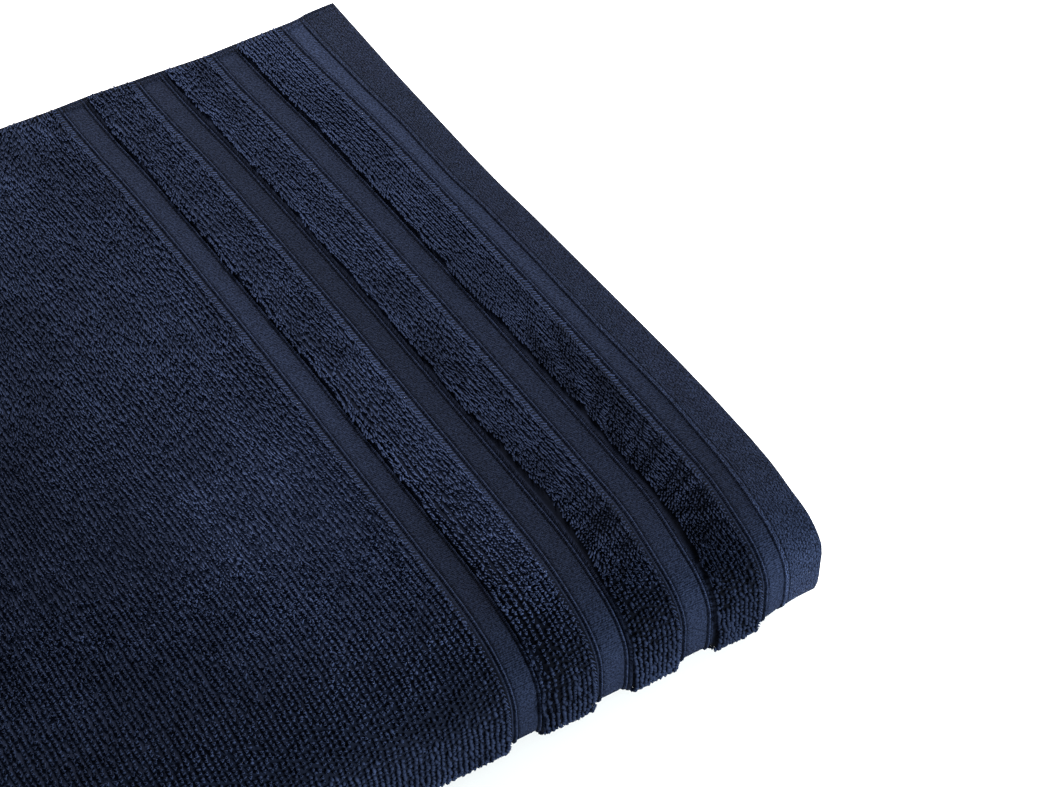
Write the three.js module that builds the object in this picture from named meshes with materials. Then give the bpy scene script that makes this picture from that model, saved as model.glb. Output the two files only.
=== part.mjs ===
// A bath sheet of cotton terry with a woven border at each end, three pile stripes between four
// flat bands, folded and lying on a level surface. The sheet is first folded crosswise into
// quarters, so that both end hems lie together, and that pack of four layers is then folded in
// thirds across its width, with the last third on top and its side hem at the far edge.
// Millimetres, +Z up, +X towards the end hems, +Y towards the side hem of the top layer.

import * as THREE from 'three';

// The sheet as it was cut and hemmed.
const SHEET_LENGTH = 1500;
const SHEET_WIDTH = 970;
const TERRY_THICKNESS = 3.2;
const FLAT_THICKNESS = 1.4;
const HEM_THICKNESS = 2.2;
const SIDE_HEM_WIDTH = 5;
const PILE_SLOPE = 0.9; // run over which the pile rises from a flat band or a side hem

// The border, from the end of the sheet inwards. Sink is how far a stretch lies below the middle
// of the pile beside it, towards the inside of the fold.
const BORDER = [
  { stretch: 'end hem', width: 12.9, thickness: HEM_THICKNESS, sink: 0.9 },
  { stretch: 'flat band 4', width: 7.3, thickness: FLAT_THICKNESS, sink: 0.7 },
  { stretch: 'pile stripe 3', width: 18.7, thickness: TERRY_THICKNESS, sink: 0 },
  { stretch: 'flat band 3', width: 12, thickness: FLAT_THICKNESS, sink: 0.6 },
  { stretch: 'pile stripe 2', width: 18.9, thickness: TERRY_THICKNESS, sink: 0 },
  { stretch: 'flat band 2', width: 12, thickness: FLAT_THICKNESS, sink: 0.6 },
  { stretch: 'pile stripe 1', width: 19, thickness: TERRY_THICKNESS, sink: 0 },
  { stretch: 'flat band 1', width: 11.8, thickness: FLAT_THICKNESS, sink: 0.6 },
];

// The folded stack.
const LAYER_GAP = 0.6;
const LAYERS_IN_PACK = 4;
const PACKS = 3;
const FOLDED_WIDTH = 336.5; // from the near fold to the side hem of the top layer
const NEAR_BEND_REACH = 38; // how far the near fold rounds over before it is level
const FAR_BEND_REACH = 17;
const FAR_BEND_SETBACK = 2; // the far fold lies this much inside the side hem above it
const INNER_FOLD_SETBACK = 7; // and the fold between the end hems this much inside them
const UNDER_HEM_SETBACK = 2;
const BEND_REACH_LOSS = 1.08; // how much of its reach a bend loses for each millimetre of depth
const UPPER_SQUARENESS = 2.35; // 2 is an ellipse, more is squarer
const LOWER_SQUARENESS = 3;

// What makes the fold uneven.
const WEFT_BOW = 9; // the far ends of the bands trail towards -X by this much
const HEM_CORNER_SPREAD = 3.6; // the end hem is wider by this much at its far corner
const HEM_CORNER_RUN = 85;
const HEM_CORNER_JUT = 3; // and stands out this much past the side hem
const HEM_CORNER_WIDTH = 15;
const HEM_CORNER_RISE = 5; // over which the corner goes out from the side hem
const SIDE_HEM_WAVE = 0.9; // the side hem's edge goes in and out by this much
const SIDE_HEM_WAVE_LENGTH = 150;
const SIDE_HEM_EASE = 30; // the wave dies out over this much of the cloth beside the hem
const LOWER_PACK_SETBACK = 2.5; // the lower thirds lie this much inside the top one
const LOWER_BOW_SHARE = 1 / 3; // and are bowed less

const PITCH = TERRY_THICKNESS + LAYER_GAP;
const PACK_PITCH = LAYERS_IN_PACK * PITCH;
const PACK_THICKNESS = PACK_PITCH - LAYER_GAP;
const HEIGHT = PACKS * PACK_PITCH - LAYER_GAP;
const FAR_BEND_HEIGHT = 2 * PACK_PITCH - LAYER_GAP;
const OUTER_FOLD_RADIUS = 1.5 * PITCH;
const INNER_FOLD_RADIUS = 0.5 * PITCH;
const FOLD_LENGTH = Math.PI * (OUTER_FOLD_RADIUS + 2 * INNER_FOLD_RADIUS);
const PANEL = (SHEET_LENGTH - FOLD_LENGTH + 2 * INNER_FOLD_SETBACK + UNDER_HEM_SETBACK) / 4;

const OUTER_FOLD_STEPS = 8;
const INNER_FOLD_STEPS = 5;
const NEAR_BEND_STEPS = 16;
const FAR_BEND_STEPS = 10;

const mix = THREE.MathUtils.lerp;
const { smoothstep } = THREE.MathUtils;

// Distance from the nearer end of the sheet, thickness and sink at each change in the border.
function borderStations() {
  const stations = [];
  let start = 0;
  BORDER.forEach((stretch, i) => {
    const inset = i === 0 ? 0 : PILE_SLOPE / 2;
    stations.push({ from: start + inset, ...stretch });
    start += stretch.width;
    stations.push({ from: start - PILE_SLOPE / 2, ...stretch });
  });
  const field = { thickness: TERRY_THICKNESS, sink: 0 };
  stations.push({ from: start + PILE_SLOPE / 2, ...field });
  return stations;
}

// The end of a layer, with its border, as stations on the layer's middle line. Face is 1 where
// the upper side of the cloth is nearer the outside of the pack, and -1 where it is turned over.
function layerEnd(x, depth, face, stations) {
  return stations.map(({ from, thickness, sink }) => ({
    x: x - from,
    depth,
    acrossX: 0,
    acrossDepth: face,
    thickness,
    sink: Math.max(sink * face, 0),
  }));
}

// A fold between two layers, as stations on a half circle about (x, depth). Bulge is the side on
// which it stands out, and turn is 1 where the path goes deeper and -1 where it comes up.
function fold(x, depth, radius, bulge, turn, steps) {
  const stations = [];
  for (let i = 0; i <= steps; i++) {
    const angle = (Math.PI * i) / steps;
    const outX = bulge * Math.sin(angle);
    const outDepth = -turn * Math.cos(angle);
    stations.push({
      x: x + radius * outX,
      depth: depth + radius * outDepth,
      acrossX: outX * turn * bulge,
      acrossDepth: outDepth * turn * bulge,
      thickness: TERRY_THICKNESS,
      sink: 0,
    });
  }
  return stations;
}

// The pack's section along its length: the middle line from the upper end hem, through four
// layers and three folds, to the end hem under it. Depth 0 is the outer face of the pack.
function packSection() {
  const depthOf = (layerNumber) => (layerNumber + 0.5) * PITCH - LAYER_GAP / 2;
  const border = borderStations();
  const reversed = [...border].reverse();
  const left = -PANEL;
  const right = -INNER_FOLD_SETBACK;
  const under = -UNDER_HEM_SETBACK;
  const middle = (depthOf(0) + depthOf(3)) / 2;
  const inner = (depthOf(2) + depthOf(3)) / 2;
  const upper = layerEnd(0, depthOf(0), 1, border);
  const outerFold = fold(left, middle, OUTER_FOLD_RADIUS, -1, 1, OUTER_FOLD_STEPS);
  const rightFold = fold(right, inner, INNER_FOLD_RADIUS, 1, -1, INNER_FOLD_STEPS);
  const leftFold = fold(left, middle, INNER_FOLD_RADIUS, -1, -1, INNER_FOLD_STEPS);
  const lower = layerEnd(under, depthOf(1), -1, reversed);
  return [...upper, ...outerFold, ...rightFold, ...leftFold, ...lower];
}

// How a bend at one edge of the stack carries a depth: a half oval from its top to its bottom.
function ovalBend(share, depth, reach, height) {
  const angle = Math.PI * (0.5 - share);
  const squareness = angle > 0 ? UPPER_SQUARENESS : LOWER_SQUARENESS;
  const power = 2 / squareness;
  const across = reach - depth * BEND_REACH_LOSS;
  const up = height / 2 - depth;
  return {
    out: across * Math.abs(Math.cos(angle)) ** power,
    z: height / 2 + up * Math.sign(angle) * Math.abs(Math.sin(angle)) ** power,
  };
}

// The runs of the pack across its width, each from its start (0) to its end (1).
const FAR_BEND_START = FOLDED_WIDTH - FAR_BEND_SETBACK - FAR_BEND_REACH;
const RUNS = {
  top: (share, depth) => ({
    y: mix(FOLDED_WIDTH, NEAR_BEND_REACH, share),
    z: HEIGHT - depth,
  }),
  nearBend: (share, depth) => {
    const { out, z } = ovalBend(share, depth, NEAR_BEND_REACH, HEIGHT);
    return { y: NEAR_BEND_REACH - out, z };
  },
  bottom: (share, depth) => ({
    y: mix(NEAR_BEND_REACH, FAR_BEND_START, share),
    z: depth,
  }),
  farBend: (share, depth) => {
    const { out, z } = ovalBend(1 - share, depth, FAR_BEND_REACH, FAR_BEND_HEIGHT);
    return { y: FAR_BEND_START + out, z };
  },
  middle: (share, depth) => ({
    y: mix(FAR_BEND_START, MIDDLE_END, share),
    z: FAR_BEND_HEIGHT - depth,
  }),
};

// Length of a run, measured at the middle of the pack's thickness.
function runLength(run) {
  const steps = 200;
  let length = 0;
  let last = RUNS[run](0, PACK_THICKNESS / 2);
  for (let i = 1; i <= steps; i++) {
    const next = RUNS[run](i / steps, PACK_THICKNESS / 2);
    length += Math.hypot(next.y - last.y, next.z - last.z);
    last = next;
  }
  return length;
}

const OUTER_RUNS = ['top', 'nearBend', 'bottom', 'farBend'];
const MIDDLE_LENGTH = SHEET_WIDTH - OUTER_RUNS.reduce((sum, run) => sum + runLength(run), 0);
const MIDDLE_END = FAR_BEND_START - MIDDLE_LENGTH;

// Stations across the width. Hemmed stations are in the narrow side hems, which have no pile.
function widthStations() {
  const stations = [];
  const add = (run, share, hemmed = false) => stations.push({ run, share, hemmed });
  const topLength = FOLDED_WIDTH - NEAR_BEND_REACH;
  const pileStart = SIDE_HEM_WIDTH + PILE_SLOPE;
  add('top', 0, true);
  add('top', SIDE_HEM_WIDTH / topLength, true);
  add('top', pileStart / topLength);
  add('top', SIDE_HEM_EASE / topLength);
  add('top', HEM_CORNER_RUN / topLength);
  add('top', 0.6);
  for (let i = 0; i <= NEAR_BEND_STEPS; i++) add('nearBend', i / NEAR_BEND_STEPS);
  add('bottom', 0.5);
  for (let i = 0; i <= FAR_BEND_STEPS; i++) add('farBend', i / FAR_BEND_STEPS);
  add('middle', 0.5);
  add('middle', 1 - pileStart / MIDDLE_LENGTH);
  add('middle', 1 - SIDE_HEM_WIDTH / MIDDLE_LENGTH, true);
  add('middle', 1, true);
  return stations;
}

// Moves a point of the straight fold to where the uneven one has it.
function uneven(x, y, run) {
  const far = THREE.MathUtils.clamp(y / FOLDED_WIDTH, 0, 1);
  const bow = -WEFT_BOW * far * far;
  if (run !== 'top' && run !== 'nearBend') {
    return { x: x + bow * LOWER_BOW_SHARE - LOWER_PACK_SETBACK, y };
  }
  const nearCorner = smoothstep(y, FOLDED_WIDTH - HEM_CORNER_RUN, FOLDED_WIDTH);
  const inHem = smoothstep(x, -HEM_CORNER_WIDTH - HEM_CORNER_RISE, 0);
  const spread = HEM_CORNER_SPREAD * nearCorner * inHem;
  const nearEdge = smoothstep(y, FOLDED_WIDTH - SIDE_HEM_EASE, FOLDED_WIDTH);
  const jut = HEM_CORNER_JUT * smoothstep(x, -HEM_CORNER_WIDTH, HEM_CORNER_RISE - HEM_CORNER_WIDTH);
  const wave = SIDE_HEM_WAVE * Math.cos((2 * Math.PI * x) / SIDE_HEM_WAVE_LENGTH);
  return { x: x + bow + spread, y: y + (jut + wave - SIDE_HEM_WAVE) * nearEdge };
}

function bathSheetGeometry() {
  const section = packSection();
  const widths = widthStations();
  const count = section.length;
  const positions = [];
  for (const { run, share, hemmed } of widths) {
    for (const side of [1, -1]) {
      for (const s of section) {
        const thickness = hemmed ? Math.min(s.thickness, HEM_THICKNESS) : s.thickness;
        const offset = s.sink - (side * thickness) / 2;
        const x = s.x + s.acrossX * offset;
        const depth = s.depth + s.acrossDepth * offset;
        const { y, z } = RUNS[run](share, depth);
        const moved = uneven(x, y, run);
        positions.push(moved.x, moved.y, z);
      }
    }
  }
  const index = [];
  const at = (j, side, i) => (j * 2 + side) * count + i;
  const quad = (a, b, c, d) => index.push(a, b, c, a, c, d);
  for (let j = 0; j + 1 < widths.length; j++) {
    for (let i = 0; i + 1 < count; i++) {
      quad(at(j, 0, i), at(j, 0, i + 1), at(j + 1, 0, i + 1), at(j + 1, 0, i));
      quad(at(j, 1, i + 1), at(j, 1, i), at(j + 1, 1, i), at(j + 1, 1, i + 1));
    }
    quad(at(j, 1, 0), at(j, 0, 0), at(j + 1, 0, 0), at(j + 1, 1, 0));
    quad(at(j, 0, count - 1), at(j, 1, count - 1), at(j + 1, 1, count - 1), at(j + 1, 0, count - 1));
  }
  const last = widths.length - 1;
  for (let i = 0; i + 1 < count; i++) {
    quad(at(0, 0, i), at(0, 1, i), at(0, 1, i + 1), at(0, 0, i + 1));
    quad(at(last, 0, i + 1), at(last, 1, i + 1), at(last, 1, i), at(last, 0, i));
  }
  const geometry = new THREE.BufferGeometry();
  geometry.setAttribute('position', new THREE.Float32BufferAttribute(positions, 3));
  geometry.setIndex(index);
  geometry.computeBoundingBox();
  const { min, max } = geometry.boundingBox;
  geometry.translate(-(min.x + max.x) / 2, -(min.y + max.y) / 2, -min.z);
  geometry.computeVertexNormals();
  return geometry;
}

const terry = new THREE.MeshStandardMaterial({ color: 0x202a3c, roughness: 0.95, metalness: 0 });
const bathSheet = new THREE.Mesh(bathSheetGeometry(), terry);
bathSheet.name = 'bath_sheet';

const part = new THREE.Group();
part.add(bathSheet);

export default part;
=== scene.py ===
"""A folded bath sheet of navy cotton terry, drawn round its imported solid.

The sheet is folded in quarters along its length, which makes a pack of four layers, and the pack
is folded in thirds across its width. A place on the cloth is given by two distances in
millimetres: from_end, from the sheet's end hem, and from_side, from its side hem. The fold
carries it to where it lies. A height is measured from the middle of the cloth's thickness
towards its right side, the one that shows.
"""

import math

import bpy
import numpy as np
from mathutils import Matrix, Vector


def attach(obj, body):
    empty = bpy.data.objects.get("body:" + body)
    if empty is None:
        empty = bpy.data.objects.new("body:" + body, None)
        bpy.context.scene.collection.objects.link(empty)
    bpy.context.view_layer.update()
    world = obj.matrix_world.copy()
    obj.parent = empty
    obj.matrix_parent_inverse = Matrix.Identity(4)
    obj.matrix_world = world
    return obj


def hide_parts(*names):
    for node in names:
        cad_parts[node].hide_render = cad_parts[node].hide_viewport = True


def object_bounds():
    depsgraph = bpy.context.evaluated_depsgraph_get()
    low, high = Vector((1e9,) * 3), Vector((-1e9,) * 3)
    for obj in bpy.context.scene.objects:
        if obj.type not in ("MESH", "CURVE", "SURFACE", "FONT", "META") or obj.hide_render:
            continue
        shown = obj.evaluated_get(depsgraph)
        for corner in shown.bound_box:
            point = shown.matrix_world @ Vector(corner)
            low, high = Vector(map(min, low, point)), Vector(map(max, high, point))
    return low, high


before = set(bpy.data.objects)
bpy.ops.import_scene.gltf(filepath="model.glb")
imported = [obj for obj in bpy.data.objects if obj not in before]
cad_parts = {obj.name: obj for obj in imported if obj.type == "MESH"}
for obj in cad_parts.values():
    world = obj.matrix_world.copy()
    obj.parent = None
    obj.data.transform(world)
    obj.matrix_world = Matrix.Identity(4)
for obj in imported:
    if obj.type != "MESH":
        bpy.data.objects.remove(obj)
cad_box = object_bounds()
MM = 0.001

# The sheet and its pile
SHEET_LENGTH = 1500.0
TERRY_THICKNESS = 3.2
LAYER_GAP = 0.6
PILE_TOP = TERRY_THICKNESS / 2
GROUND_HEIGHT = 0.7
WRONG_SIDE = -TERRY_THICKNESS / 2
ROW_PITCH = 1.94
STRIPE_ROW_PITCH = 1.76
COLUMN_PITCH = 1.54

# The folded stack. The near bend turns the whole stack under at the front, and the far bend joins
# its two lower packs at the back. A setback is how far one edge lies behind another.
LAYERS_IN_PACK = 4
PACKS = 3
FOLDED_WIDTH = 336.5
NEAR_BEND_REACH = 38.0
FAR_BEND_REACH = 17.0
FAR_BEND_SETBACK = 2.0
INNER_FOLD_SETBACK = 7.0
UNDER_HEM_SETBACK = 2.0
LOWER_PACK_SETBACK = 2.5
LOWER_BOW = 3.0
MIDDLE_LENGTH = 286.0

PITCH = TERRY_THICKNESS + LAYER_GAP
PACK_PITCH = LAYERS_IN_PACK * PITCH
HEIGHT = PACKS * PACK_PITCH - LAYER_GAP
FAR_BEND_HEIGHT = 2 * PACK_PITCH - LAYER_GAP
OUTER_FOLD_RADIUS = 1.5 * PITCH
INNER_FOLD_RADIUS = 0.5 * PITCH
FOLD_LENGTH = math.pi * (OUTER_FOLD_RADIUS + 2 * INNER_FOLD_RADIUS)
PANEL = (SHEET_LENGTH - FOLD_LENGTH + 2 * INNER_FOLD_SETBACK + UNDER_HEM_SETBACK) / 4
DEPTHS = [(layer + 0.5) * PITCH - LAYER_GAP / 2 for layer in range(LAYERS_IN_PACK)]

# The outline of a bend is a half oval: a squareness of 2 is a true oval, and more is squarer. The
# lower half of the near bend is fuller under the terry than under the end hem.
UPPER_SQUARENESS = 2.35
LOWER_SQUARENESS = 3.0
HEM_FULLNESS = 0.3
NEAR_FULLNESS = 2.2
BEND_REACH_LOSS = 1.08
BEND_STEPS = 801

# The border, in distances from the end of the sheet. A cord runs along each edge of a flat band.
HEM_WIDTH = 13.6
HEM_LINE = 13.9
HEM_RIDGE = 13.0
HEM_CREASE = 12.1
SIDE_HEM_WIDTH = 5.2
SIDE_STITCHES = (2.3, 4.6)
BANDS = [
    {"name": "band 4", "outer_cord": 20.7, "inner_cord": None},
    {"name": "band 3", "outer_cord": 52.5, "inner_cord": 42.9},
    {"name": "band 2", "outer_cord": 85.5, "inner_cord": 75.8},
    {"name": "band 1", "outer_cord": 118.0, "inner_cord": 108.8},
]
FULLER_PAST_HEM = (HEM_WIDTH - 5, HEM_WIDTH + 9)

# Heights and widths of the border's parts. A bank is the slope of ground beside a band.
HEM_TOP = 0.1
HEM_UNDER = -2.0
BAND_HEIGHT = -0.5
CORD_HEIGHT = 0.05
CORD_HALF_WIDTH = 0.45
CORD_HALF_TOP = 0.05
GROOVE_WIDTH = 0.5
GROOVE_HEIGHT = -0.85
CORD_REACH = CORD_HALF_WIDTH + 2 * GROOVE_WIDTH
BANK_NEAR_CORD = 3.2
BANK_AT_EDGE = 3.0
BANK_FOOT = 0.4
HEM_STEP_HALF = 0.55
SIDE_STEP_HALF = 0.4
HEM_STEP_UNDER = (4.4, 5.4)
EDGE_RADIUS = 1.2
LEAST_FULLNESS = 0.06
FLAT_WEAVE_REACH = 1.3

# Dents along the stitched lines: the depth of each and half its width
HEM_LINE_DENT = (0.55, 0.38)
HEM_CREASE_DENT = (0.16, 0.4)
SIDE_STITCH_DENT = (0.25, 0.4)

# Where the cloth's mesh has its lines: at distances from an edge, a dent or the end of the sheet,
# at shares of a bank's width, and the number of them on each stretch of the folded width
EDGE_STATIONS = [0, 0.2, 0.6, 1.2]
HEM_STATIONS = [4, 8]
SIDE_HEM_STATIONS = [1.9, 2.3, 2.7, 3.5, 4.2, 4.6, 5.0, 5.6, 6.4]
DENT_STATIONS = [-1.1, -0.8, -0.55, -0.4, -0.2, 0, 0.2, 0.4, 0.8]
FIELD_STATIONS = [135.0, 165.0, 200.0, 230.0, 290.0, PANEL - 6]
UNDERSIDE_STATIONS = [8, HEM_WIDTH, 30, 60, 120, 250]
BANK_SHARES = (0.15, 0.4, 0.7, 1)
TOP_STATION_PITCH = 7.5
NEAR_BEND_STATIONS = 30
BOTTOM_STATIONS = 10
FAR_BEND_STATIONS = 18
MIDDLE_STATIONS = 9
OUTER_FOLD_STEPS = 14
INNER_FOLD_STEPS = 8
CLEAR_OF_SIDE_HEM = 12.0

# How far the lines of the border stray along the folded length from straight ones. On top it is
# given at distances along the cloth from the far side hem, and for the near fold at distances from
# the end of the sheet.
TOP_DRIFT = {
    "hem edge": [
        (0, -2.7), (20, -2.9), (50, -3.2), (80, -3.0), (110, -2.7), (130, -2.2), (150, -1.0), (180, 0.3),
        (210, 1.5), (240, 2.7), (265, 3.2), (290, 3.1), (300, 2.7), (315, 1.8), (327, 2.4), (339, 2.4),
        (346, 1.0), (400, 0.6),
    ],
    "hem stitch": [
        (0, -6.2), (20, -5.9), (50, -4.8), (80, -2.9), (95, -2.9), (120, -2.5), (135, -0.9), (170, 0.4),
        (215, 1.2), (260, 2.9), (290, 2.3), (303, 1.4), (315, 0.6), (330, 0.3), (400, 0.3),
    ],
    "bands": [
        (0, -7.5), (20, -6.9), (35, -6.0), (50, -4.8), (65, -3.8), (80, -3.1), (110, -1.8), (140, -0.9),
        (170, 0.0), (200, 0.6), (230, 1.2), (260, 1.8), (290, 2.2), (400, 2.2),
    ],
}
FOLD_DRIFT = [(20, 0.3), (43, 0.0), (53, 0.1), (76, 1.2), (86, 1.3), (109, 1.8), (118, 2.1), (400, 2.1)]
DRIFT_ORIGIN = 2.0
DRIFT_PAST_HEM = 6.0

# How far the side hem on top lies beyond a straight edge, at distances from the end of the sheet
SIDE_HEM_REACH = [
    (0, 4.4), (7, 4.0), (11, 3.4), (13.5, 2.5), (17, 1.9), (30, 1.3), (44, 0.6), (62, -0.4), (71, 0.4),
    (88, 0.7), (98, 1.4), (106, 1.3), (122, 0.6), (150, 0.9), (190, 0.2), (240, 0.8), (300, 0.1), (400, 0.5),
]
SIDE_HEM_EASE = 30.0

NOISE_LATTICE = 128


def from_table(table, at):
    """The value at a place, from a table of places and values."""
    places, values = zip(*table)
    return np.interp(at, places, values)


def ease(share):
    return share * share * (3 - 2 * share)


def smooth(value, low, high):
    """From 0 below low to 1 above high, with soft ends."""
    return ease(np.clip((value - low) / (high - low), 0, 1))


def between(value, rise, fall):
    """From 0 to 1 over the range where it rises, and back to 0 over the range where it falls."""
    return smooth(value, *rise) * (1 - smooth(value, *fall))


def soft_noise(along, across, size, seed):
    """Smooth noise from -1 to 1, with bumps about size wide."""
    lattice = np.random.default_rng(seed).uniform(-1, 1, (NOISE_LATTICE, NOISE_LATTICE))
    column, row = np.asarray(along) / size, np.asarray(across) / size
    i, j = np.floor(column).astype(int), np.floor(row).astype(int)
    s, t = ease(column - i), ease(row - j)

    def corner(right, down):
        return lattice[(i + right) % NOISE_LATTICE, (j + down) % NOISE_LATTICE]

    near = corner(0, 0) * (1 - s) + corner(1, 0) * s
    far = corner(0, 1) * (1 - s) + corner(1, 1) * s
    return near * (1 - t) + far * t


# The fold across the width
class Bend:
    """A half oval at one edge of the stack, from one of its runs to the next."""

    def __init__(self, reach, height, first_squareness, second_squareness, fullness):
        self.reach, self.height = reach, height
        self.squareness = (first_squareness, second_squareness)
        steps = np.linspace(1, -1, BEND_STEPS)
        self.angles = math.pi / 2 * steps * np.abs(steps) ** 2
        out, rise = self.place(self.angles, 0.0, fullness)
        chords = np.hypot(np.diff(out), np.diff(rise))
        self.lengths = np.concatenate([[0], np.cumsum(chords)])
        self.length = self.lengths[-1]

    def place(self, angle, depth, fuller):
        """How far out a point lies from the bend's start, and how high above its middle."""
        first, second = self.squareness
        power = 2 / np.where(angle > 0, first, second + fuller)
        out = (self.reach - depth * BEND_REACH_LOSS) * np.abs(np.cos(angle)) ** power
        rise = (self.height / 2 - depth) * np.sign(angle) * np.abs(np.sin(angle)) ** power
        return out, rise

    def at(self, length, depth, fuller=0.0):
        return self.place(np.interp(length, self.lengths, self.angles), depth, fuller)


near_bend = Bend(NEAR_BEND_REACH, HEIGHT, UPPER_SQUARENESS, LOWER_SQUARENESS, HEM_FULLNESS + NEAR_FULLNESS)
far_bend = Bend(FAR_BEND_REACH, FAR_BEND_HEIGHT, LOWER_SQUARENESS, UPPER_SQUARENESS, 0.0)

# Where each run of the pack ends, in distances from the side hem on top along the cloth
FAR_BEND_START = FOLDED_WIDTH - FAR_BEND_SETBACK - FAR_BEND_REACH
TOP_END = FOLDED_WIDTH - NEAR_BEND_REACH
NEAR_END = TOP_END + near_bend.length
BOTTOM_END = NEAR_END + FAR_BEND_START - NEAR_BEND_REACH
FAR_END = BOTTOM_END + far_bend.length
PATH_END = FAR_END + MIDDLE_LENGTH

# Where the drift passes from the top's to the fold's, and from the fold's to the underside's
ONTO_FOLD = (TOP_END - 10, TOP_END + 22)
ONTO_UNDERSIDE = (NEAR_END - 10, NEAR_END + 30)


def across_fold(from_side, depth, from_end):
    """The y and z of a point of the pack, from its distance along the pack's outer face."""
    fuller = NEAR_FULLNESS * smooth(from_end, *FULLER_PAST_HEM) + HEM_FULLNESS
    near_out, near_rise = near_bend.at(from_side - TOP_END, depth, fuller)
    far_out, far_rise = far_bend.at(from_side - BOTTOM_END, depth)
    runs = [from_side < TOP_END, from_side < NEAR_END, from_side < BOTTOM_END, from_side < FAR_END]
    y = np.select(
        runs,
        [
            FOLDED_WIDTH - from_side,
            NEAR_BEND_REACH - near_out,
            NEAR_BEND_REACH + from_side - NEAR_END,
            FAR_BEND_START + far_out,
        ],
        FAR_BEND_START - (from_side - FAR_END),
    )
    z = np.select(
        runs,
        [
            HEIGHT - depth,
            HEIGHT / 2 + near_rise,
            depth,
            FAR_BEND_HEIGHT / 2 - far_rise,
        ],
        FAR_BEND_HEIGHT - depth,
    )
    return y, z


def drift(from_end, from_side):
    """How far the weave has moved along the folded length at a place on the cloth."""
    in_hem = np.clip(from_end / HEM_WIDTH, 0, 1)
    past_hem = smooth(from_end, HEM_WIDTH, HEM_WIDTH + DRIFT_PAST_HEM)
    on_fold = smooth(from_side, *ONTO_FOLD)
    bands = from_table(TOP_DRIFT["bands"], from_side) * (1 - on_fold)
    bands = bands + from_table(FOLD_DRIFT, from_end) * on_fold
    hem = from_table(TOP_DRIFT["hem edge"], from_side) * (1 - in_hem)
    hem = hem + from_table(TOP_DRIFT["hem stitch"], from_side) * in_hem
    top = hem * (1 - past_hem) + bands * past_hem - DRIFT_ORIGIN
    far = np.clip(across_fold(from_side, 0.0, from_end)[0] / FOLDED_WIDTH, 0, 1)
    lower = -LOWER_BOW * far * far - LOWER_PACK_SETBACK
    underneath = smooth(from_side, *ONTO_UNDERSIDE)
    return top * (1 - underneath) + lower * underneath


def fold_into_thirds(x, depth, from_end, from_side):
    """Where a point of the pack lies in the folded sheet, in metres, in the frame."""
    y, z = across_fold(from_side, depth, from_end)
    x = x + drift(from_end, from_side)
    beside_hem = 1 - smooth(from_side, 0, SIDE_HEM_EASE)
    y = y + from_table(SIDE_HEM_REACH, from_end) * beside_hem
    return np.stack([x * MM + cad_box[1].x, y * MM + cad_box[0].y, z * MM], -1)


# The pack's section along its length, as stations on the middle of the cloth
def straight(from_ends, setback, depth, up):
    """A layer of the pack. Up is 1 where the cloth's right side faces deeper into the stack."""
    from_ends = np.asarray(from_ends, float)
    count = len(from_ends)
    return {
        "x": -setback - from_ends,
        "depth": np.full(count, depth),
        "up_x": np.zeros(count),
        "up_depth": np.full(count, float(up)),
        "from_end": from_ends,
    }


def half_turn(x, depth, radius, bulge, turn, steps):
    """A fold of the pack. Bulge is 1 where it bulges to the right, turn is 1 where it goes deeper."""
    angle = np.linspace(0, math.pi, steps + 1)
    out_x, out_depth = bulge * np.sin(angle), -turn * np.cos(angle)
    right_side = -turn * bulge
    return {
        "x": x + radius * out_x,
        "depth": depth + radius * out_depth,
        "up_x": right_side * out_x,
        "up_depth": right_side * out_depth,
        "from_end": np.full(steps + 1, PANEL),
    }


def cords_of(band):
    """The cords along a band's edges. The band beside the hem has none at its inner edge."""
    return [cord for cord in (band["outer_cord"], band["inner_cord"]) if cord is not None]


def border_stations():
    """Distances from the end of the sheet at which the border changes."""
    found = EDGE_STATIONS + HEM_STATIONS
    for dented in (HEM_LINE, HEM_CREASE):
        found += [dented + step for step in DENT_STATIONS]
    from_cord = [CORD_HALF_WIDTH * share for share in (0, 0.6, 1)]
    from_cord += [CORD_HALF_WIDTH + GROOVE_WIDTH * share for share in (0.4, 0.8, 1.3, 2)]
    for band in BANDS:
        for cord in cords_of(band):
            found += [cord + step for step in from_cord]
            found += [cord - step for step in from_cord]
            found += [cord + CORD_REACH + BANK_NEAR_CORD * share for share in BANK_SHARES]
            found += [cord - CORD_REACH - BANK_AT_EDGE * share for share in (*BANK_SHARES, 1.7)]
    return np.unique(np.round(found, 3))


def pack_section():
    """The top layer, the folds at both ends and the layer under the top one's hem."""
    top = np.concatenate([border_stations(), FIELD_STATIONS])
    under = EDGE_STATIONS + UNDERSIDE_STATIONS
    left, right = -PANEL, -INNER_FOLD_SETBACK
    middle = (DEPTHS[0] + DEPTHS[3]) / 2
    inner = (DEPTHS[2] + DEPTHS[3]) / 2
    runs = [
        straight(top, 0, DEPTHS[0], -1),
        half_turn(left, middle, OUTER_FOLD_RADIUS, -1, 1, OUTER_FOLD_STEPS),
        half_turn(right, inner, INNER_FOLD_RADIUS, 1, -1, INNER_FOLD_STEPS),
        half_turn(left, middle, INNER_FOLD_RADIUS, -1, -1, INNER_FOLD_STEPS),
        straight(under[::-1], UNDER_HEM_SETBACK, DEPTHS[1], 1),
    ]
    return {key: np.concatenate([run[key] for run in runs]) for key in runs[0]}


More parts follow.
